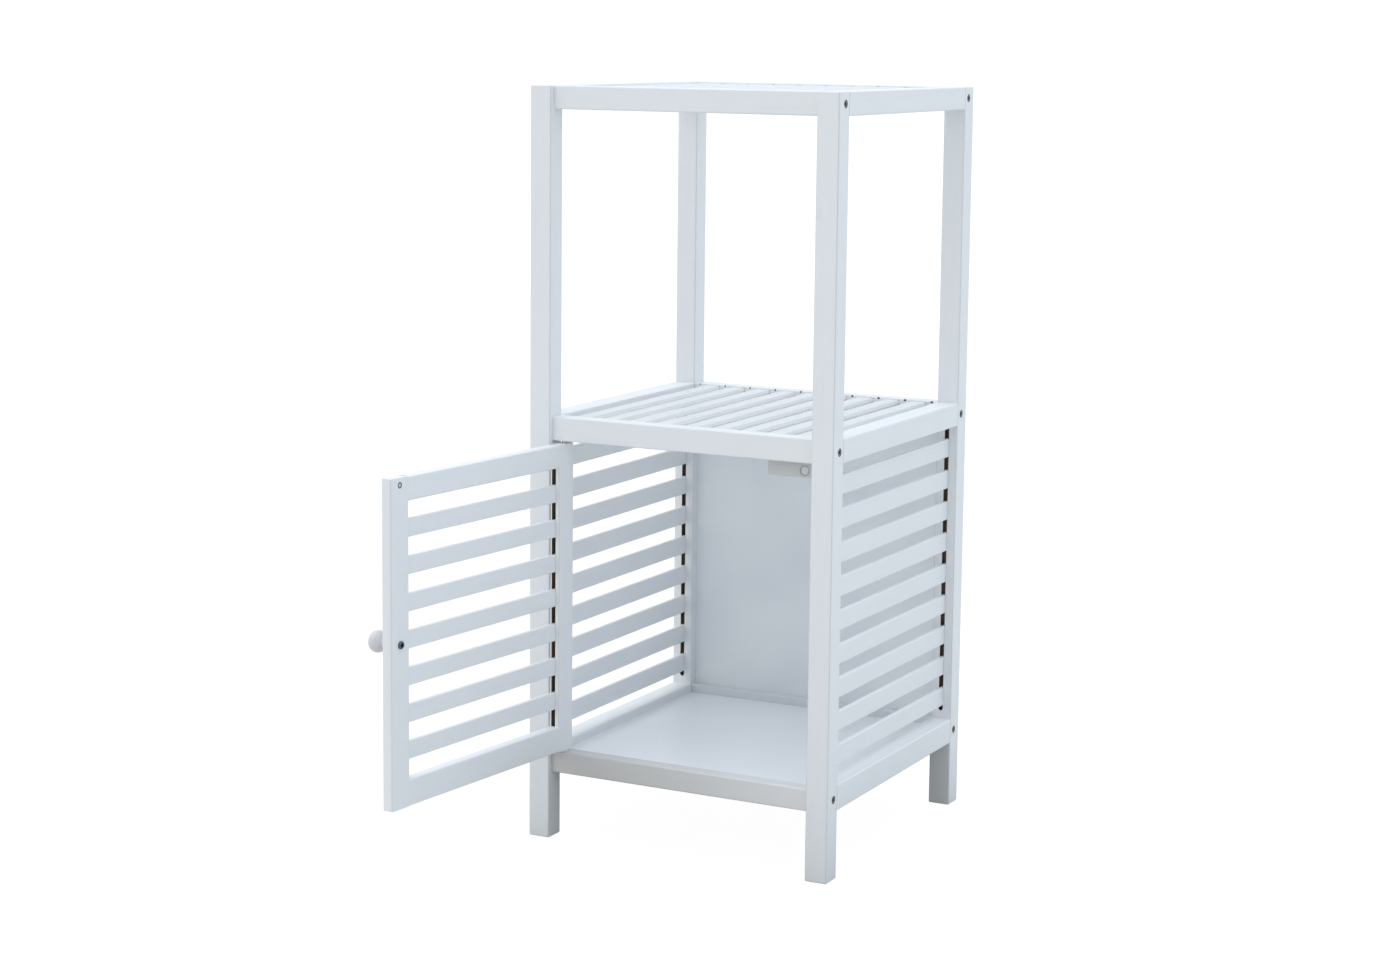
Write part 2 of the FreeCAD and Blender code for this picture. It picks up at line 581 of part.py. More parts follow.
def strike(clearance):
    """Countersunk steel screw that the magnet pulls; with clearance, its hole."""
    neck_y = DOOR_INNER_Y - STRIKE_HEAD_HEIGHT
    tip = DOOR_INNER_Y - STRIKE_LENGTH
    neck = STRIKE_RADIUS + clearance
    axis = V(0, 1, 0)
    cone = Part.makeCone(neck, STRIKE_HEAD_RADIUS + clearance, STRIKE_HEAD_HEIGHT, V(STRIKE_X, neck_y, STRIKE_Z), axis)
    shank = rod(neck, V(STRIKE_X, tip, STRIKE_Z), V(STRIKE_X, neck_y, STRIKE_Z))
    screw = cone.fuse(shank)
    if clearance:
        return screw
    return screw.cut(cross_slot(STRIKE_X, DOOR_INNER_Y, STRIKE_Z, STRIKE_HEAD_RADIUS))


def knob():
    """Turned knob: a waisted neck under an egg-shaped head."""
    half_head = KNOB_HEAD_LENGTH / 2
    neck_angle = math.acos(KNOB_NECK_RADIUS / KNOB_HEAD_RADIUS)
    widest = -KNOB_NECK_LENGTH - half_head * math.sin(neck_angle)
    base = V(0, 0, 0)
    neck_foot = V(KNOB_NECK_RADIUS, 0, 0)
    waist = V(KNOB_WAIST_RADIUS, -KNOB_NECK_LENGTH / 2, 0)
    neck_top = V(KNOB_NECK_RADIUS, -KNOB_NECK_LENGTH, 0)
    crown = V(0, widest - half_head, 0)
    head = Part.Ellipse(V(0, widest, 0), KNOB_HEAD_RADIUS, half_head)
    outline = [
        Part.makeLine(base, neck_foot),
        Part.Arc(neck_foot, waist, neck_top).toShape(),
        Part.ArcOfEllipse(head, -math.pi / 2, neck_angle).toBSpline().toShape(),
        Part.makeLine(crown, base),
    ]
    turned = Part.Face(Part.Wire(Part.sortEdges(outline)[0])).revolve(base, V(0, 1, 0), 360)
    turned.translate(V(KNOB_X, DOOR_OUTER_Y, KNOB_Z))
    return turned.cut(knob_screw(HOLE_CLEARANCE))


def make_door_fittings():
    save("door_knob", opened(knob()))
    save("knob_screw", opened(knob_screw(0)))
    save("strike_screw", opened(strike(0)))


# Magnetic catch

def make_catch():
    x = (OPENING_HALF_WIDTH - CATCH_BLOCK_LENGTH, OPENING_HALF_WIDTH)
    y = (CATCH_FRONT_Y, CATCH_FRONT_Y + CATCH_BLOCK_DEPTH)
    z = (MIDDLE_RAIL_UNDERSIDE - CATCH_BLOCK_HEIGHT, MIDDLE_RAIL_UNDERSIDE)
    body = round_long_edges(block(x, y, z), 0, CATCH_BLOCK_EDGE_RADIUS)
    mouth = V(STRIKE_X, CATCH_FRONT_Y, STRIKE_Z)
    bottom = mouth + V(0, CATCH_SLEEVE_LENGTH, 0)
    save("catch_block", body.cut(rod(CATCH_SLEEVE_RADIUS + HOLE_CLEARANCE, mouth, bottom)))
    bore = rod(CATCH_SLEEVE_RADIUS - CATCH_SLEEVE_WALL, mouth, bottom)
    save("catch_sleeve", rod(CATCH_SLEEVE_RADIUS, mouth, bottom).cut(bore))
    magnet_radius = CATCH_SLEEVE_RADIUS - CATCH_SLEEVE_WALL - HOLE_CLEARANCE
    save("catch_magnet", rod(magnet_radius, mouth + V(0, CATCH_MAGNET_SUNK, 0), bottom))


def main():
    os.makedirs("parts", exist_ok=True)
    make_legs()
    make_side_rails()
    make_cross_rails()
    make_fasteners()
    make_slats()
    make_boards()
    make_hinge()
    make_door_frame()
    make_door_slats()
    make_door_fittings()
    make_catch()


main()
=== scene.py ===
"""White-painted slatted bathroom cabinet with an open door: its finished look.

Metres, in the cabinet's own frame: +X to its right, +Y to its back, +Z up, origin on the floor at the
centre of the legs. Painted bars are built again here over the plain ones, so that edges are softly
rounded and each joint shows its fine line. The door's pieces are shaped closed and then turned open.
"""
import json
import math

import bmesh
import bpy
from mathutils import Matrix, Vector


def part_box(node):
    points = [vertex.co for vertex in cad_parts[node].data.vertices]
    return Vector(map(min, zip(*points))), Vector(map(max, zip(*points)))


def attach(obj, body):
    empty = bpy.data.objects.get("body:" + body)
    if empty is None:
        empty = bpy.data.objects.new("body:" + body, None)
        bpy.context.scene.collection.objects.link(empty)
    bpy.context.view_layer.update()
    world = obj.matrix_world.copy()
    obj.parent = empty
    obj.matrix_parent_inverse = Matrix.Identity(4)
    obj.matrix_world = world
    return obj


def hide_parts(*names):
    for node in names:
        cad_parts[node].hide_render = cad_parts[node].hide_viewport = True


MM = 0.001
X, Y, Z = 0, 1, 2

# Camera, at the photograph's place
CAMERA_PLACE = (1.3088008, -2.6557182, 0.881062)
CAMERA_AZIMUTH = 27.386
CAMERA_PITCH = 7.825
CAMERA_ROLL = 0.620
CAMERA_LENS = 69.499
CAMERA_SENSOR = 36.0
CAMERA_SHIFT_Y = -0.05714

# Studio floor: the colour that it throws back, and a darker painted shadow that it throws back under the cabinet,
# which shades the cabinet's feet and underside
STUDIO_FLOOR_RADIUS = 60.0
STUDIO_FLOOR_SIDES = 96
STUDIO_FLOOR_COLOUR = (0.66, 0.65, 0.63)
STUDIO_FLOOR_PAINTED_SHADOW = (0.22, 0.22, 0.20)
# How far from the middle the painted shadow starts to fade, and where it is gone
STUDIO_FLOOR_FADE = (0.12, 0.42)
STUDIO_FLOOR_ROUGHNESS = 0.9
STUDIO_FLOOR_SPECULAR = 0.1
# To the camera the floor and the sky are almost pure white, with only a trace of the floor's shadows
SEEN_WHITE = (1.15, 1.15, 1.15)
SEEN_SHARE = 0.85
# Broad glows of the studio's sky: where each comes from, how tight it is, and its light
SKY_GLOWS = (
    ((0, 0, 1), 2.0, (1.34, 1.46, 1.57)),
    ((1, 0, 0), 2.0, (0.80, 0.88, 0.99)),
    ((-1, 0, 0), 2.0, (0.78, 0.78, 0.78)),
    ((0, 1, 0), 2.0, (0.88, 0.92, 0.95)),
    ((0, -1, 0), 2.0, (0.28, 0.25, 0.21)),
    ((-0.60, -0.60, 0.53), 6.0, (0.93, 0.93, 0.94)),
)
TOP_LIGHT_PLACE = (0.0, -0.3, 2.0)
TOP_LIGHT_TARGET = (0.0, 0.0, 0.5)
TOP_LIGHT_SIZE = (1.0, 1.0)
TOP_LIGHT_POWER = 0.6
TOP_LIGHT_COLOUR = (0.69, 0.84, 1.0)

# Nodes that come in rows
LEVELS = ("top", "middle", "bottom")
SIDES = ("left", "right")
SHELF_SLATS = ["shelf_slat_" + str(number) for number in range(1, 10)]
DOOR_SLATS = ["door_slat_" + str(number) for number in range(1, 8)]

# Bars: how far their long edges are rounded
RAIL_EDGE = 1.6 * MM
SLAT_EDGE = 1.2 * MM
SHELF_EDGE = 1.5 * MM
DOOR_EDGE = 1.8 * MM
EDGE_SEGMENTS = 6
# Their ends: butted against a leg, butted against a stile of the door, and hidden in a groove or mortise
BUTTED_END = 0.35 * MM
DOOR_BUTTED_END = 0.15 * MM
HIDDEN_END = 0.2 * MM
END_SEGMENTS = 3
# How far the door's rails are scribed into the rounded edges of its stiles
SCRIBED = 1.4 * MM

# Bare wood in the slats' grooves: how far it reaches past a slat's end and beside the slat, and how deep
# under the painted face it starts
GROOVE_PAST_END = 1.0 * MM
GROOVE_BESIDE = 0.3 * MM
GROOVE_UNDER_FACE = 0.2 * MM
# The same in the screw holes, where the bare wood also stands in as painted shade round the sunk heads
HOLE_BESIDE = 0.2 * MM
HOLE_UNDER_FACE = 0.1 * MM

# Small dark marks of bare wood along the top edge of the middle back rail, one in each gap between the shelf
# slats, partly painted shade of the gaps' deep ends; they widen to the right, where that shade is deeper
MARK_WIDTH_LEFT = 1.2 * MM
MARK_WIDTH_RIGHT = 3.2 * MM
MARK_DROP = 2.4 * MM
MARK_REACH = 1.0 * MM

# Paints, each in two shades that its clouds and its grain mix
SATIN_WHITE = ((0.82, 0.84, 0.86), (0.79, 0.812, 0.838))
# Low front rail: darker paint as painted shade, darkest at its left end as the open door's painted shadow
LOW_RAIL_SHADOWED_LEFT = ((0.61, 0.60, 0.585), (0.585, 0.575, 0.565))
LOW_RAIL_SHADOWED_RIGHT = ((0.78, 0.78, 0.79), (0.75, 0.75, 0.76))
# Low back rail: darker paint, as painted shade deep in the lower compartment
LOW_BACK_RAIL_SHADED = ((0.76, 0.785, 0.825), (0.72, 0.75, 0.79))
# Shelf slats: sides painted whiter as painted light in the gaps, and tops painted greyer as painted shade
SHELF_SIDES_PAINTED_LIGHT = ((0.96, 0.965, 0.97), (0.94, 0.95, 0.96))
SHELF_TOPS_PAINTED_SHADE = ((0.75, 0.765, 0.775), (0.725, 0.74, 0.755))
# Catch block: its white paint greyed, as painted shade under the rail
CATCH_PAINTED_SHADE = ((0.62, 0.625, 0.62), (0.56, 0.565, 0.56))
# Boards: gloss white brightened and blued as painted light for the closed compartment; the back board's darker
# second shade also paints its faint wavy reflections
BACK_BOARD_PAINTED_LIGHT = ((0.90, 0.93, 0.955), (0.80, 0.84, 0.885))
FLOOR_BOARD_PAINTED_LIGHT = ((0.92, 0.94, 0.965), (0.895, 0.92, 0.95))
# Knob: white paint greyed, as painted shade
KNOB_PAINTED_SHADE = ((0.69, 0.685, 0.70), (0.64, 0.635, 0.655))
# Where the painted light of a shelf slat's side starts to turn into the painted shade of its top, and ends, below
# the top face
SHELF_FADE = (1.8 * MM, 0.4 * MM)
# Satin paint: how much the clouds and the streaks of the grain bring in of its second shade
CLOUD_SHARE = 0.35
STREAK_SHARE = 0.45
STREAK_SPAN = (0.45, 0.75)
SATIN_ROUGHNESS = (0.34, 0.46)
SATIN_SPECULAR = 0.45
# Painted shade along the upright corners, a thin grey line: how far from the corner, and how much
CORNER_REACH = (0.6 * MM, 1.5 * MM)
CORNER_PAINTED_SHADE = (0.84, 0.84, 0.84)
# Gloss paint of the boards and of the knob
BOARD_CLOUD_SPAN = (0.1, 0.9)
BOARD_ROUGHNESS = 0.3
BOARD_COAT = 0.15
BOARD_COAT_ROUGHNESS = 0.2
FLOOR_BOARD_WAVINESS = 0.05
BACK_BOARD_WAVINESS = 0.7
KNOB_ROUGHNESS = (0.22, 0.34)
KNOB_COAT = 0.3

# Bare wood, dark and light; and the dowels' beech
BARE_WOOD = ((0.084, 0.058, 0.041), (0.190, 0.136, 0.100))
BARE_WOOD_SPAN = (0.35, 0.65)
BEECH = ((0.62, 0.43, 0.25), (0.45, 0.29, 0.15))
BEECH_ROUGHNESS = 0.7
# How many times longer than wide the marks of the grain are
GRAIN_STRETCH = 14.0

# Metals and plastics, each in two shades
DULL_ZINC = ((0.36, 0.37, 0.37), (0.21, 0.22, 0.22))
BRIGHT_ZINC = ((0.62, 0.62, 0.63), (0.45, 0.45, 0.46))
MAGNET_PLATING = ((0.70, 0.71, 0.72), (0.62, 0.63, 0.64))
CATCH_PLASTIC = ((0.40, 0.41, 0.42), (0.34, 0.35, 0.36))
WASHER_PLASTIC = ((0.75, 0.75, 0.73), (0.68, 0.68, 0.66))
# Screws in the door, with painted light and shade: the colour of the head's middle and that of its rim; the strike
# screw's bright middle is a painted highlight with painted shade round it, and the knob screw's black middle is
# painted shade of its recess
STRIKE_STEEL_PAINTED_LIGHT = ((0.93, 0.93, 0.94), (0.15, 0.15, 0.16))
BLACK_STEEL_PAINTED_LIGHT = ((0.02, 0.02, 0.02), (0.16, 0.16, 0.17))
SCREW_PATCH_SPAN = (0.2, 0.8)
SCREW_ROUGHNESS = (0.3, 0.45)
# Where the middle's shade ends and the rim's starts, as shares of the head's radius
HEAD_MIDDLE_SHARE = 0.35
HEAD_RIM_SHARE = 0.75

# Most of a noise lies between these two values
NOISE_SPAN = (0.3, 0.7)
# Points closer than this are one, and places are put in order by this many decimals
SAME_POINT = 0.001 * MM
PLACE_DECIMALS = 5
# Two directions are parallel when this much of one lies along the other
PARALLEL = 0.99

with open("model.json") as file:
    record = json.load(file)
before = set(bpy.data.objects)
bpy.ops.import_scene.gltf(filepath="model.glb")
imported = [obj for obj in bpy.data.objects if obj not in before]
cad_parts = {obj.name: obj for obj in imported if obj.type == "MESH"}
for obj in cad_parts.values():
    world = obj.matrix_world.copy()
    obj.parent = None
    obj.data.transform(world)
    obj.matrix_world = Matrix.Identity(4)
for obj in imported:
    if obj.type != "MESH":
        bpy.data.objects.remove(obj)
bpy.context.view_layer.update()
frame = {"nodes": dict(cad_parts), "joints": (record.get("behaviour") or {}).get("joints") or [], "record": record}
JOINT = frame["joints"][0]
PIN = Vector(JOINT["pos_m"])
OPEN_ANGLE = math.radians(JOINT["range_deg"][1])


# Places read from the frame

def corners(points):
    """Lowest and highest corner of some points."""
    low = Vector([min(p[i] for p in points) for i in range(3)])
    high = Vector([max(p[i] for p in points) for i in range(3)])
    return low, high


def closing_turn():
    """The turn that brings the open door's points to where they are when it is closed."""
    return Matrix.Translation(PIN) @ Matrix.Rotation(OPEN_ANGLE, 4, "Z") @ Matrix.Translation(-PIN)


def is_door(node):
    return node in frame["record"]["behaviour"]["bodies"]["door"]


def solid_boxes(node):
    """Box of each solid of a node, lowest first; a door node's solids are boxed closed."""
    bm = bmesh.new()
    bm.from_mesh(frame["nodes"][node].data)
    if is_door(node):
        bm.transform(closing_turn())
    bmesh.ops.remove_doubles(bm, verts=bm.verts, dist=SAME_POINT)
    left = set(bm.verts)
    boxes = []
    while left:
        solid = {left.pop()}
        newly_found = list(solid)
        while newly_found:
            vertex = newly_found.pop()
            near = {e.other_vert(vertex) for e in vertex.link_edges} - solid
            solid |= near
            newly_found += near
        left -= solid
        boxes.append(corners([v.co for v in solid]))
    bm.free()
    return sorted(boxes, key=lambda box: [round(c, PLACE_DECIMALS) for c in (box[0].z, box[0].x, box[0].y)])


# Pieces

def finish_piece(name, bm, body, material, node):
    """Turns a bmesh into a named piece that stands for a node and rides on a body."""
    if body == "door":
        bm.transform(closing_turn().inverted())
    bmesh.ops.recalc_face_normals(bm, faces=bm.faces)
    for face in bm.faces:
        face.smooth = True
    mesh = bpy.data.meshes.new(name)
    bm.to_mesh(mesh)
    bm.free()
    piece = bpy.data.objects.new(name, mesh)
    bpy.context.scene.collection.objects.link(piece)
    mesh.materials.append(material)
    even = piece.modifiers.new("even_normals", "WEIGHTED_NORMAL")
    even.keep_sharp = True
    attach(piece, body)
    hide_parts(node)


def runs_along(edge, axis):
    run = edge.verts[1].co - edge.verts[0].co
    return abs(run[axis]) > PARALLEL * run.length


def rims_end(edge, axis):
    """Whether an edge lies between a bar's end, which faces along its axis, and one of its sides."""
    facing = [abs(face.normal[axis]) for face in edge.link_faces]
    return len(facing) == 2 and max(facing) > PARALLEL and min(facing) < 1 - PARALLEL


def eased_bar(low, high, axis, edge_radius, end_ease):
    """A bar with rounded long edges and lightly eased ends."""
    bm = bmesh.new()
    bmesh.ops.create_cube(bm, size=1.0)
    bmesh.ops.scale(bm, vec=high - low, verts=bm.verts)
    bmesh.ops.translate(bm, vec=(low + high) / 2, verts=bm.verts)
    long_edges = [e for e in bm.edges if runs_along(e, axis)]
    bmesh.ops.bevel(bm, geom=long_edges, offset=edge_radius, affect="EDGES", segments=EDGE_SEGMENTS,
                    profile=0.5, material=-1, clamp_overlap=True)
    rims = [e for e in bm.edges if rims_end(e, axis)]
    bmesh.ops.bevel(bm, geom=rims, offset=end_ease, affect="EDGES", segments=END_SEGMENTS,
                    profile=0.5, material=-1, clamp_overlap=True)
    return bm


def build_bars(node, axis, edge_radius, end_ease, material, longer=0.0):
    """Every solid of a node as an eased bar, longer at both ends where it is scribed into its neighbours."""
    body = "door" if is_door(node) else "cabinet"
    boxes = solid_boxes(node)
    for number, (low, high) in enumerate(boxes, 1):
        name = node + "_paint" if len(boxes) == 1 else node + "_paint_" + str(number)
        low[axis] -= longer
        high[axis] += longer
        bm = eased_bar(low, high, axis, edge_radius, end_ease)
        finish_piece(name, bm, body, material, node)


# Material nodes

def new_material(name):
    material = bpy.data.materials.new(name)
    material.use_nodes = True
    tree = material.node_tree
    tree.nodes.clear()
    output = tree.nodes.new("ShaderNodeOutputMaterial")
    shader = tree.nodes.new("ShaderNodeBsdfPrincipled")
    tree.links.new(shader.outputs["BSDF"], output.inputs["Surface"])
    return material, tree, shader


def feed(tree, socket, value):
    """Links a socket to another one, or sets it to a plain value."""
    if isinstance(value, bpy.types.NodeSocket):
        tree.links.new(value, socket)
    else:
        socket.default_value = value


def add(tree, kind, operation=None, **values):
    """A node with some of its sockets fed, each by its name or, after an underscore, its number."""
    node = tree.nodes.new(kind)
    if operation is not None:
        node.operation = operation
    for key, value in values.items():
        socket = node.inputs[int(key[1:])] if key[0] == "_" else node.inputs[key.replace("_", " ")]
        feed(tree, socket, value)
    return node


def math_node(tree, operation, *values):
    sockets = {"_" + str(index): value for index, value in enumerate(values)}
    return add(tree, "ShaderNodeMath", operation, **sockets).outputs[0]


def vector_node(tree, operation, **values):
    node = add(tree, "ShaderNodeVectorMath", operation, **values)
    return node.outputs["Value" if operation in ("DOT_PRODUCT", "LENGTH") else "Vector"]


def object_place(tree):
    return add(tree, "ShaderNodeTexCoord").outputs["Object"]


def stretched(tree, place, stretch, body):
    """Coordinates divided by a stretch on each axis; the door's are first turned closed about its pin."""
    mapping = add(tree, "ShaderNodeMapping", Vector=place, Scale=stretch)
    mapping.vector_type = "TEXTURE"
    if body == "door":
        mapping.inputs["Location"].default_value = PIN
        mapping.inputs["Rotation"].default_value = (0, 0, -OPEN_ANGLE)
    return mapping.outputs["Vector"]


def closed_place(tree, body):
    """Object coordinates; the door's are turned closed and counted from its pin."""
    return stretched(tree, object_place(tree), (1, 1, 1), body)


def closed_box(box, body):
    """A box in the coordinates of closed_place."""
    start = PIN if body == "door" else Vector((0, 0, 0))
    return box[0] - start, box[1] - start


def noise(tree, place, scale, detail=3.0, roughness=0.5):
    return add(tree, "ShaderNodeTexNoise", Vector=place, Scale=scale, Detail=detail,
               Roughness=roughness).outputs["Fac"]


def between(tree, value, low, high, to_low=0.0, to_high=1.0):
    """A value moved from one range to another, and kept inside it with soft ends."""
    node = add(tree, "ShaderNodeMapRange", _0=value, _1=low, _2=high, _3=to_low, _4=to_high)
    node.interpolation_type = "SMOOTHSTEP"
    return node.outputs[0]


def drawn_out(tree, value, to_low=0.0, to_high=1.0):
    """A noise spread over a whole range."""
    return between(tree, value, *NOISE_SPAN, to_low, to_high)


def blend_colours(tree, factor, first, second, mode="MIX"):
    mix = tree.nodes.new("ShaderNodeMix")
    mix.data_type = "RGBA"
    mix.blend_type = mode
    feed(tree, mix.inputs[0], factor)
    for index, colour in ((6, first), (7, second)):
        feed(tree, mix.inputs[index], (*colour, 1.0) if isinstance(colour, tuple) else colour)
    return mix.outputs[2]


def bumped(tree, shader, layers):
    """Layers of bump, each a height, a strength and a depth, laid one on another."""
    normal = None
    for height, strength, distance in layers:
        bump = add(tree, "ShaderNodeBump", Height=height, Strength=strength, Distance=distance)
        if normal is not None:
            tree.links.new(normal, bump.inputs["Normal"])
        normal = bump.outputs["Normal"]
    tree.links.new(normal, shader.inputs["Normal"])


def inside(tree, place, low, high):
    """1 within a box of coordinates, 0 outside it."""
    parts = add(tree, "ShaderNodeSeparateXYZ", Vector=place).outputs
    mask = None
    for axis in (X, Y, Z):
        centre = (low[axis] + high[axis]) / 2
        reach = (high[axis] - low[axis]) / 2
        near = math_node(tree, "COMPARE", parts[axis], centre, reach)
        mask = near if mask is None else math_node(tree, "MULTIPLY", mask, near)
    return mask


# Paints

def faded(tree, place, shade, colours, fade):
    """A paint that gives way to another one along an axis of Object coordinates."""
    axis, start, end, others = fade
    along = add(tree, "ShaderNodeSeparateXYZ", Vector=place).outputs[axis]
    return blend_colours(tree, between(tree, along, start, end), blend_colours(tree, shade, *colours),
                         blend_colours(tree, shade, *others))


def worn_corners(tree, colour, bar, body):
    """A colour darkened along the upright corners of a bar, as painted shade."""
    low, high = closed_box(bar, body)
    off_centre = vector_node(tree, "SUBTRACT", _0=closed_place(tree, body), _1=(low + high) / 2)
    past_centre = vector_node(tree, "ABSOLUTE", _0=off_centre)
    to_corner = vector_node(tree, "SUBTRACT", _0=past_centre, _1=(high - low) / 2)
    level = vector_node(tree, "MULTIPLY", _0=to_corner, _1=(1, 1, 0))
    corner_shade = between(tree, vector_node(tree, "LENGTH", _0=level), *CORNER_REACH, 1.0, 0.0)
    return blend_colours(tree, corner_shade, colour, CORNER_PAINTED_SHADE, "MULTIPLY")


def unpainted(tree, colour, boxes, body, grain):
    """A colour that leaves bare wood inside some boxes."""
    place = closed_place(tree, body)
    bare = None
    for box in boxes:
        mask = inside(tree, place, *closed_box(box, body))
        bare = mask if bare is None else math_node(tree, "MAXIMUM", bare, mask)
    streaks = between(tree, noise(tree, grain, scale=420.0, detail=4.0, roughness=0.6), *BARE_WOOD_SPAN)
    return blend_colours(tree, bare, colour, blend_colours(tree, streaks, *BARE_WOOD))


def satin_paint(name, axis, body, colours=SATIN_WHITE, fade=None, bar=None, bare=()):
    """White satin paint brushed along the wood, with the grain just telling through.

    A fade is an axis, where the paint starts and ends to change along it, and the paint that it changes
    into. A bar gets painted shade along its upright corners. Bare boxes aren't painted.
    """
    material, tree, shader = new_material(name)
    place = object_place(tree)
    grain = stretched(tree, place, [GRAIN_STRETCH if i == axis else 1.0 for i in (X, Y, Z)], body)
    clouds = noise(tree, place, scale=9.0, detail=2.0)
    streaks = noise(tree, grain, scale=230.0, detail=4.0, roughness=0.55)
    fine = noise(tree, grain, scale=900.0, detail=3.0, roughness=0.6)
    cloudy = math_node(tree, "MULTIPLY", drawn_out(tree, clouds), CLOUD_SHARE)
    shade = math_node(tree, "ADD", cloudy, between(tree, streaks, *STREAK_SPAN, 0.0, STREAK_SHARE))
    colour = faded(tree, place, shade, colours, fade) if fade else blend_colours(tree, shade, *colours)
    if bar:
        colour = worn_corners(tree, colour, bar, body)
    if bare:
        colour = unpainted(tree, colour, bare, body, grain)
    tree.links.new(colour, shader.inputs["Base Color"])
    tree.links.new(drawn_out(tree, streaks, *SATIN_ROUGHNESS), shader.inputs["Roughness"])
    shader.inputs["Specular IOR Level"].default_value = SATIN_SPECULAR
    bumped(tree, shader, [(streaks, 0.25, 0.12 * MM), (fine, 0.15, 0.04 * MM)])
    return material


def shelf_paint(name, top):
    """Paint of the slats of one shelf, with painted light on their sides and painted shade on their tops."""
    start, end = SHELF_FADE
    return satin_paint(name, Y, "cabinet", SHELF_SIDES_PAINTED_LIGHT, fade=(Z, top - start, top - end, SHELF_TOPS_PAINTED_SHADE))


def low_rail_paint():
    """Paint of the low front rail, darker as painted shade and darkest towards its left end, as a painted shadow
    of the open door.
    """
    low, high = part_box("bottom_front_rail")
    return satin_paint("low_rail_paint", X, "cabinet", LOW_RAIL_SHADOWED_LEFT, fade=(X, low.x, high.x, LOW_RAIL_SHADOWED_RIGHT))


def gloss_paint(name, waviness, colours):
    """White gloss paint on a thin board, faintly rippled."""
    material, tree, shader = new_material(name)
    place = object_place(tree)
    ripple = noise(tree, place, scale=26.0, detail=0.0)
    dust = noise(tree, place, scale=1400.0, detail=2.0)
    clouds = noise(tree, place, scale=11.0, detail=1.0)
    colour = blend_colours(tree, between(tree, clouds, *BOARD_CLOUD_SPAN), *colours)
    tree.links.new(colour, shader.inputs["Base Color"])
    shader.inputs["Roughness"].default_value = BOARD_ROUGHNESS
    shader.inputs["Coat Weight"].default_value = BOARD_COAT
    shader.inputs["Coat Roughness"].default_value = BOARD_COAT_ROUGHNESS
    bumped(tree, shader, [(ripple, waviness, 2.0 * MM), (dust, 0.05, 0.03 * MM)])
    return material


def knob_paint():
    """Thick gloss paint on a turned knob, greyed as painted shade, with faint turning rings."""
    material, tree, shader = new_material("knob_paint")
    place = object_place(tree)
    cover = noise(tree, place, scale=90.0, detail=3.0)
    rings = noise(tree, stretched(tree, place, (1.0, 30.0, 30.0), "cabinet"), scale=1500.0, detail=2.0)
    tree.links.new(blend_colours(tree, drawn_out(tree, cover), *KNOB_PAINTED_SHADE), shader.inputs["Base Color"])
    tree.links.new(drawn_out(tree, cover, *KNOB_ROUGHNESS), shader.inputs["Roughness"])
    shader.inputs["Coat Weight"].default_value = KNOB_COAT
    bumped(tree, shader, [(cover, 0.2, 0.1 * MM), (rings, 0.1, 0.03 * MM)])
    return material


# Metals, plastics and bare wood

def finish_steel(tree, shader, colour, roughness, skin):
    tree.links.new(colour, shader.inputs["Base Color"])
    tree.links.new(roughness, shader.inputs["Roughness"])
    shader.inputs["Metallic"].default_value = 1.0
    bumped(tree, shader, [(skin, 0.15, 0.02 * MM)])


def steel(name, shades, roughness):
    """Plated steel, with turning marks and dull patches."""
    material, tree, shader = new_material(name)
    place = object_place(tree)
    patches = noise(tree, place, scale=700.0, detail=3.0)
    scratches = noise(tree, stretched(tree, place, (1.0, 1.0, 12.0), "cabinet"), scale=5000.0, detail=2.0)
    colour = blend_colours(tree, drawn_out(tree, patches), *shades)
    finish_steel(tree, shader, colour, drawn_out(tree, patches, *roughness), scratches)
    return material


def screw_steel(name, node, shades):
    """Steel of a screw in the door, with painted light and shade: one colour in the middle of its head and another
    round the rim.
    """
    material, tree, shader = new_material(name)
    low, high = closed_box(solid_boxes(node)[0], "door")
    radius = (high.x - low.x) / 2
    place = closed_place(tree, "door")
    off_centre = vector_node(tree, "SUBTRACT", _0=place, _1=(low + high) / 2)
    across = vector_node(tree, "MULTIPLY", _0=off_centre, _1=(1, 0, 1))
    rim = between(tree, vector_node(tree, "LENGTH", _0=across), HEAD_MIDDLE_SHARE * radius,
                  HEAD_RIM_SHARE * radius)
    patches = noise(tree, place, scale=1800.0, detail=2.0)
    roughness = between(tree, patches, *SCREW_PATCH_SPAN, *SCREW_ROUGHNESS)
    finish_steel(tree, shader, blend_colours(tree, rim, *shades), roughness, patches)
    return material


def moulded(name, shades, roughness):
    """Moulded plastic with a fine matt skin."""
    material, tree, shader = new_material(name)
    place = object_place(tree)
    skin = noise(tree, place, scale=2600.0, detail=2.0)
    clouds = noise(tree, place, scale=160.0, detail=2.0)
    tree.links.new(blend_colours(tree, drawn_out(tree, clouds), *shades), shader.inputs["Base Color"])
    tree.links.new(drawn_out(tree, skin, *roughness), shader.inputs["Roughness"])
    bumped(tree, shader, [(skin, 0.2, 0.02 * MM)])
    return material


def beech():
    """Bare beech of the dowels."""
    material, tree, shader = new_material("beech")
    lengthwise = stretched(tree, object_place(tree), (6.0, 6.0, 1.0), "cabinet")
    fibres = noise(tree, lengthwise, scale=900.0, detail=4.0)
    tree.links.new(blend_colours(tree, drawn_out(tree, fibres), *BEECH), shader.inputs["Base Color"])
    shader.inputs["Roughness"].default_value = BEECH_ROUGHNESS
    bumped(tree, shader, [(fibres, 0.3, 0.1 * MM)])
    return material


# Bars of the frame, the shelf, the sides and the door

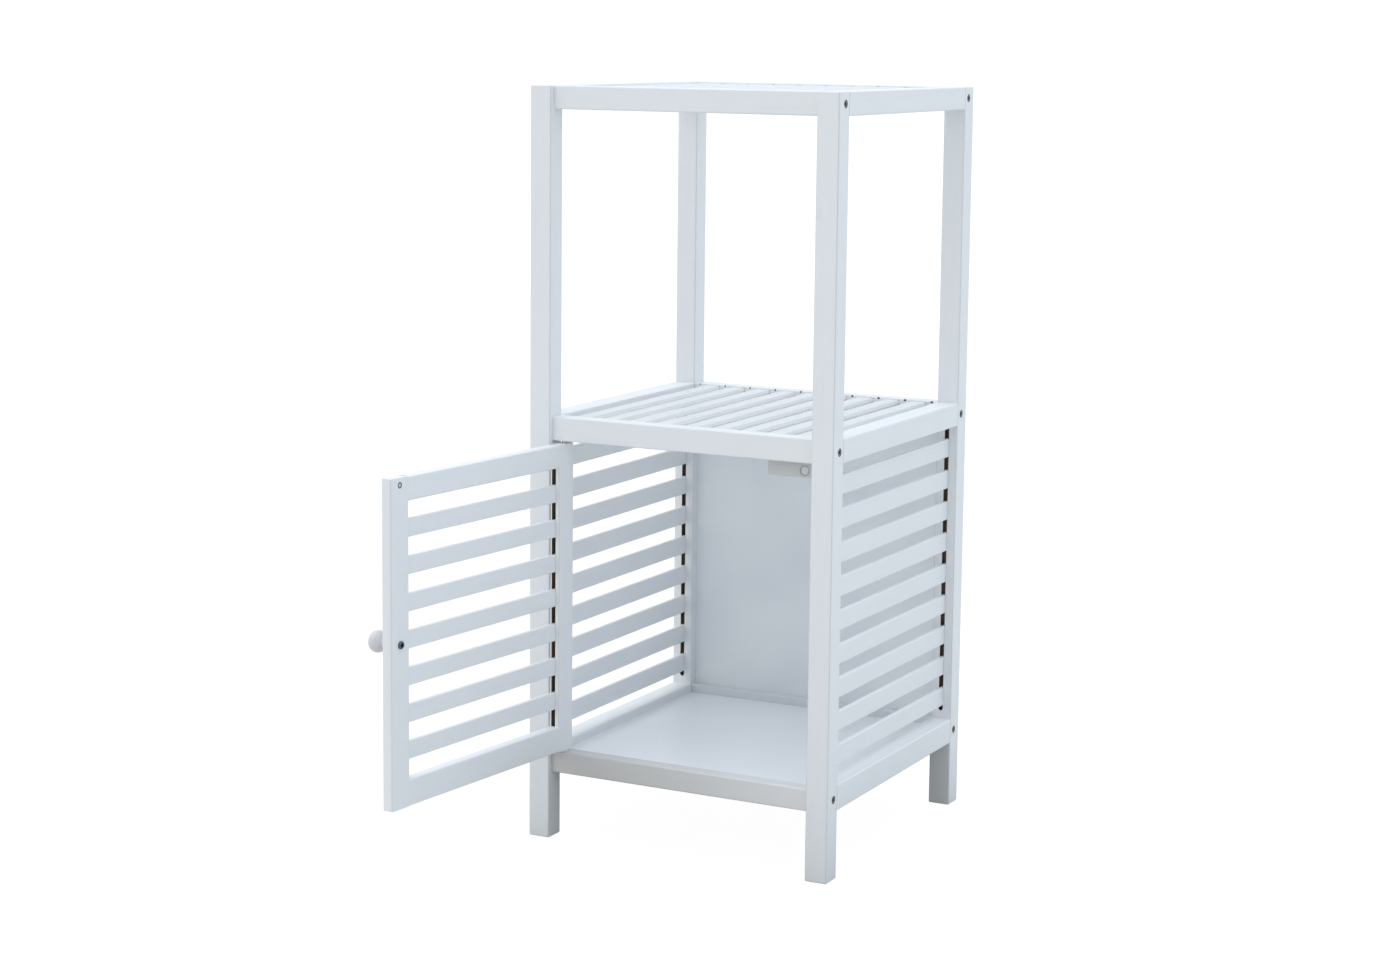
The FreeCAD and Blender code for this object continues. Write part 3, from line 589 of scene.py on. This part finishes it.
def dress_bars(paints):
    for level in LEVELS:
        for side in SIDES:
            build_bars(level + "_side_rail_" + side, Y, RAIL_EDGE, BUTTED_END, paints["y"])
        front_paint = paints["low_rail_shadowed"] if level == "bottom" else paints["x"]
        build_bars(level + "_front_rail", X, RAIL_EDGE, BUTTED_END, front_paint)
    top_paint = shelf_paint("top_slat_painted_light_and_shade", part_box("top_slats")[1].z)
    build_bars("top_slats", Y, SHELF_EDGE, HIDDEN_END, top_paint)
    slat_paint = shelf_paint("shelf_slat_paint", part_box("shelf_slat_1")[1].z)
    for node in SHELF_SLATS:
        build_bars(node, Y, SHELF_EDGE, HIDDEN_END, slat_paint)
    for side in SIDES:
        build_bars("side_slats_" + side, Y, SLAT_EDGE, HIDDEN_END, paints["y"])
    for node in ("door_top_rail", "door_bottom_rail"):
        build_bars(node, X, DOOR_EDGE, DOOR_BUTTED_END, paints["door_x"], SCRIBED)
    for node in DOOR_SLATS:
        build_bars(node, X, SLAT_EDGE, HIDDEN_END, paints["door_x"])


# Nodes that keep their own shape

def paint_node(node, material):
    for slot in frame["nodes"][node].material_slots:
        slot.material = material


def screw_holes(low, high):
    """The frame screws' holes in a leg, from its outer to its inner face, as boxes; their bare wood also serves as
    painted shade round the heads.
    """
    trim = Vector((HOLE_UNDER_FACE, -HOLE_BESIDE, -HOLE_BESIDE))
    holes = []
    for screw_low, screw_high in solid_boxes("frame_screws"):
        centre = (screw_low + screw_high) / 2
        if low.y < centre.y < high.y and (centre.x > 0) == (low.x > 0):
            holes.append((Vector((low.x, *screw_low.yz)) + trim, Vector((high.x, *screw_high.yz)) - trim))
    return holes


def slat_groove(post, slat, axis, rails):
    """The groove that holds a column of slats in a leg or a stile, between two rails, as a box."""
    low = slat[0] - Vector.Fill(3, GROOVE_BESIDE)
    high = slat[1] + Vector.Fill(3, GROOVE_BESIDE)
    if post[0][axis] < slat[0][axis]:
        low[axis] = slat[0][axis] - GROOVE_PAST_END
        high[axis] = post[1][axis] - GROOVE_UNDER_FACE
    else:
        low[axis] = post[0][axis] + GROOVE_UNDER_FACE
        high[axis] = slat[1][axis] + GROOVE_PAST_END
    low.z, high.z = rails
    return low, high


def dress_legs():
    """Legs: painted, with bare wood in the slats' grooves between the slats and in the screw holes, where it also
    stands in as painted shade round the sunk heads.
    """
    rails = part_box("bottom_side_rail_left")[1].z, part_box("middle_side_rail_left")[0].z
    for side in SIDES:
        slat = solid_boxes("side_slats_" + side)[0]
        for end in ("front", "back"):
            node = "leg_" + end + "_" + side
            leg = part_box(node)
            bare = [slat_groove(leg, slat, Y, rails), *screw_holes(*leg)]
            paint_node(node, satin_paint("leg_paint_" + end + "_" + side, Z, "cabinet", bar=leg, bare=bare))


def dress_stiles():
    """The door's stiles: painted, with bare wood in the slats' grooves between the slats."""
    rails = solid_boxes("door_bottom_rail")[0][1].z, solid_boxes("door_top_rail")[0][0].z
    slat = solid_boxes("door_slat_1")[0]
    for node in ("door_hinge_stile", "door_free_stile"):
        stile = solid_boxes(node)[0]
        groove = slat_groove(stile, slat, X, rails)
        paint_node(node, satin_paint(node + "_paint", Z, "door", bar=stile, bare=[groove]))


def dress_middle_back_rail():
    """Middle back rail: painted, with a small dark mark beside each shelf slat, bare wood that also stands in as
    painted shade at the gaps' ends.
    """
    slats = [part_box(node) for node in SHELF_SLATS]
    gap = slats[1][0].x - slats[0][1].x
    rail_low, rail_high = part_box("middle_back_rail")
    centres = [low.x - gap / 2 for low, high in slats] + [slats[-1][1].x + gap / 2]
    marks = []
    for number, x in enumerate(centres):
        share = number / (len(centres) - 1)
        half = (MARK_WIDTH_LEFT * (1 - share) + MARK_WIDTH_RIGHT * share) / 2
        marks.append((Vector((x - half, rail_low.y - MARK_REACH, rail_high.z - MARK_DROP)),
                      Vector((x + half, rail_low.y + MARK_REACH, rail_high.z + MARK_REACH))))
    paint_node("middle_back_rail", satin_paint("middle_back_rail_paint", X, "cabinet", bare=marks))


def dress_other_wood(paints):
    paint_node("top_back_rail", paints["x"])
    # The low back rail's darker paint is painted shade
    paint_node("bottom_back_rail", satin_paint("low_back_rail_painted_shade", X, "cabinet", LOW_BACK_RAIL_SHADED))
    # The catch block's grey paint is painted shade
    paint_node("catch_block", satin_paint("catch_painted_shade", X, "cabinet", CATCH_PAINTED_SHADE))
    # The boards' whites carry painted light, and the back board's clouds a painted reflection
    paint_node("floor_board", gloss_paint("floor_board_painted_light", FLOOR_BOARD_WAVINESS, FLOOR_BOARD_PAINTED_LIGHT))
    paint_node("back_board", gloss_paint("back_board_painted_light", BACK_BOARD_WAVINESS, BACK_BOARD_PAINTED_LIGHT))
    paint_node("door_knob", knob_paint())
    wood = beech()
    for node in ("cross_rail_dowels", "side_rail_dowels", "door_dowels"):
        paint_node(node, wood)


def dress_fittings():
    paint_node("frame_screws", steel("dull_zinc", DULL_ZINC, roughness=(0.4, 0.55)))
    bright = steel("bright_zinc", BRIGHT_ZINC, roughness=(0.25, 0.4))
    for node in ("hinge_pin_upper", "hinge_pin_lower"):
        paint_node(node, bright)
    paint_node("strike_screw", screw_steel("strike_steel_painted_light", "strike_screw", STRIKE_STEEL_PAINTED_LIGHT))
    paint_node("knob_screw", screw_steel("black_steel_painted_light", "knob_screw", BLACK_STEEL_PAINTED_LIGHT))
    paint_node("catch_magnet", steel("magnet_plating", MAGNET_PLATING, roughness=(0.4, 0.5)))
    paint_node("catch_sleeve", moulded("catch_plastic", CATCH_PLASTIC, roughness=(0.40, 0.53)))
    paint_node("hinge_washer", moulded("washer_plastic", WASHER_PLASTIC, roughness=(0.35, 0.48)))


# Studio: floor, sky, light and camera

def whitened(tree, shader):
    """A surface that is mostly plain white to the camera and keeps its own look for the light."""
    seen = add(tree, "ShaderNodeLightPath").outputs["Is Camera Ray"]
    white = add(tree, "ShaderNodeEmission", Color=(*SEEN_WHITE, 1.0))
    return add(tree, "ShaderNodeMixShader", _0=math_node(tree, "MULTIPLY", seen, SEEN_SHARE),
               _1=shader.outputs["BSDF"], _2=white.outputs["Emission"]).outputs["Shader"]


def studio_floor_paint():
    material, tree, shader = new_material("studio_floor")
    # Painted shadow: the floor's colour is darker under the cabinet and fades out away from it
    away = between(tree, vector_node(tree, "LENGTH", _0=object_place(tree)), *STUDIO_FLOOR_FADE)
    colour = blend_colours(tree, away, STUDIO_FLOOR_PAINTED_SHADOW, STUDIO_FLOOR_COLOUR)
    tree.links.new(colour, shader.inputs["Base Color"])
    shader.inputs["Roughness"].default_value = STUDIO_FLOOR_ROUGHNESS
    shader.inputs["Specular IOR Level"].default_value = STUDIO_FLOOR_SPECULAR
    output = next(node for node in tree.nodes if node.type == "OUTPUT_MATERIAL")
    tree.links.new(whitened(tree, shader), output.inputs["Surface"])
    return material


def build_floor():
    bm = bmesh.new()
    bmesh.ops.create_circle(bm, cap_ends=True, segments=STUDIO_FLOOR_SIDES, radius=STUDIO_FLOOR_RADIUS)
    mesh = bpy.data.meshes.new("studio_floor")
    bm.to_mesh(mesh)
    bm.free()
    floor = bpy.data.objects.new("studio_floor", mesh)
    bpy.context.scene.collection.objects.link(floor)
    mesh.materials.append(studio_floor_paint())


def build_sky():
    """A soft sky: the sum of a few broad glows, and plain white to the camera."""
    world = bpy.data.worlds.new("studio")
    world.use_nodes = True
    tree = world.node_tree
    direction = add(tree, "ShaderNodeTexCoord").outputs["Generated"]
    sky = None
    for source, tightness, colour in SKY_GLOWS:
        facing = vector_node(tree, "DOT_PRODUCT", _0=direction, _1=Vector(source).normalized())
        glow = math_node(tree, "POWER", math_node(tree, "MAXIMUM", facing, 0.0), tightness)
        light = vector_node(tree, "SCALE", _0=colour, Scale=glow)
        sky = light if sky is None else vector_node(tree, "ADD", _0=sky, _1=light)
    seen = add(tree, "ShaderNodeLightPath").outputs["Is Camera Ray"]
    tree.links.new(blend_colours(tree, seen, sky, SEEN_WHITE), tree.nodes["Background"].inputs["Color"])
    bpy.context.scene.world = world


def build_top_light():
    data = bpy.data.lights.new("top_light", "AREA")
    data.shape = "RECTANGLE"
    data.size, data.size_y = TOP_LIGHT_SIZE
    data.energy = TOP_LIGHT_POWER
    data.color = TOP_LIGHT_COLOUR
    light = bpy.data.objects.new("top_light", data)
    light.location = TOP_LIGHT_PLACE
    aim = Vector(TOP_LIGHT_TARGET) - Vector(TOP_LIGHT_PLACE)
    light.rotation_euler = aim.to_track_quat("-Z", "Y").to_euler()
    light.visible_camera = False
    bpy.context.scene.collection.objects.link(light)


def build_camera():
    data = bpy.data.cameras.new("camera")
    data.lens = CAMERA_LENS
    data.sensor_width = CAMERA_SENSOR
    data.shift_y = CAMERA_SHIFT_Y
    camera = bpy.data.objects.new("camera", data)
    turn = Matrix.Rotation(math.radians(CAMERA_AZIMUTH), 4, "Z")
    tilt = Matrix.Rotation(math.radians(90 - CAMERA_PITCH), 4, "X")
    roll = Matrix.Rotation(math.radians(CAMERA_ROLL), 4, "Z")
    camera.matrix_world = Matrix.Translation(CAMERA_PLACE) @ turn @ tilt @ roll
    bpy.context.scene.collection.objects.link(camera)
    bpy.context.scene.camera = camera


def set_colours():
    view = bpy.context.scene.view_settings
    view.view_transform = "Standard"
    view.look = "None"


build_camera()
set_colours()
build_floor()
build_sky()
build_top_light()
paints = {
    "x": satin_paint("satin_paint_x", X, "cabinet"),
    "low_rail_shadowed": low_rail_paint(),
    "y": satin_paint("satin_paint_y", Y, "cabinet"),
    "door_x": satin_paint("door_paint_x", X, "door"),
}
dress_bars(paints)
dress_legs()
dress_stiles()
dress_middle_back_rail()
dress_other_wood(paints)
dress_fittings()
